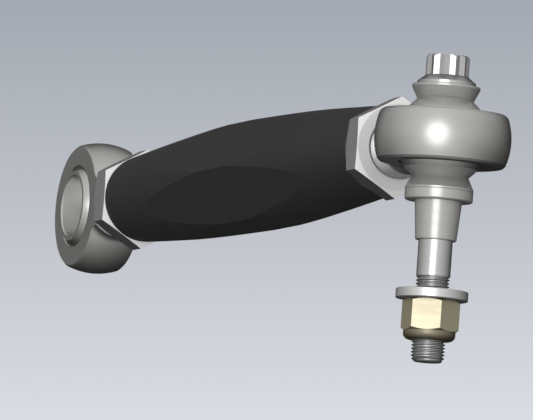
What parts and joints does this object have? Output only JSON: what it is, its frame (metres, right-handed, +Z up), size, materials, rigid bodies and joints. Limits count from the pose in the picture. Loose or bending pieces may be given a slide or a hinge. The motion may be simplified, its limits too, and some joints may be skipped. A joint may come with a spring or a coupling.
{
  "type": "tie rod",
  "caption": "Adjustable steering tie rod: a black barrel tube with milled wrench flats between two spherical rod ends, with a tapered through-bolt stud at the outer end.",
  "frame": {"origin": "centre of the inner eye, on the axis of its bore and of the tube", "axes": "+X along the rod from the inner eye to the outer eye, +Y along the inner eye's bore, +Z up the outer stud towards its twelve-point head"},
  "size_m": [0.4273, 0.051, 0.1141],
  "materials": {
    "black_coat": "satin black coat",
    "turned_steel": "satin turned steel",
    "race_steel": "ground steel",
    "liner": "woven slippery liner",
    "ball_steel": "polished hard chrome",
    "nut_steel": "clear zinc plate",
    "spacer_steel": "satin turned steel",
    "bolt_steel": "bright forged and ground steel",
    "washer_steel": "clear zinc plate",
    "yellow_zinc": "pale yellow zinc plate",
    "insert": "moulded insert"
  },
  "bodies": {
    "inner_eye": {"inner_rod_end": "turned_steel", "inner_race": "race_steel", "inner_liner": "liner"},
    "inner_swivel": {"inner_ball": "ball_steel"},
    "inner_nut": {"inner_jam_nut": "nut_steel"},
    "barrel": {"tube": "black_coat"},
    "outer_nut": {"outer_jam_nut": "nut_steel"},
    "outer_eye": {"outer_rod_end": "turned_steel", "outer_race": "race_steel", "outer_liner": "liner"},
    "outer_swivel": {"outer_ball": "ball_steel"},
    "stud": {"upper_spacer": "spacer_steel", "lower_spacer": "spacer_steel", "tapered_sleeve": "spacer_steel", "through_bolt": "bolt_steel", "washer": "washer_steel", "lock_nut": "yellow_zinc", "lock_nut_insert": "insert"}
  },
  "joints": [
    {"name": "inner_ball_swivel", "type": "hinge", "parent": "inner_eye", "child": "inner_swivel", "pos_m": [0, 0, 0], "axis": [0, 1, 0], "continuous": true},
    {"name": "inner_thread_travel", "type": "slide", "parent": "inner_eye", "child": "inner_nut", "axis": [1, 0, 0], "range_m": [-0.00363, 0.00907]},
    {"name": "tube_turn", "type": "hinge", "parent": "inner_nut", "child": "barrel", "pos_m": [0.05327, 0, 0], "axis": [1, 0, 0], "range_deg": [-720, 1800]},
    {"name": "outer_nut_turn", "type": "hinge", "parent": "barrel", "child": "outer_nut", "pos_m": [0.31827, 0, 0], "axis": [1, 0, 0], "range_deg": [-1800.1, 720.1]},
    {"name": "outer_thread_travel", "type": "slide", "parent": "outer_nut", "child": "outer_eye", "axis": [1, 0, 0], "range_m": [-0.00363, 0.00907]},
    {"name": "outer_ball_tilt", "type": "hinge", "parent": "outer_eye", "child": "outer_swivel", "pos_m": [0.37634, 0, 0], "axis": [0, 1, 0], "range_deg": [-15, 15]},
    {"name": "stud_swivel", "type": "hinge", "parent": "outer_swivel", "child": "stud", "pos_m": [0.37634, 0, 0], "axis": [0, 0, 1], "continuous": true}
  ],
  "couplings": [
    {"joint": "inner_thread_travel", "follows": "tube_turn", "m_per_rad": 0.00028875},
    {"joint": "outer_nut_turn", "follows": "tube_turn", "ratio": -1},
    {"joint": "outer_thread_travel", "follows": "tube_turn", "m_per_rad": 0.00028875}
  ]
}
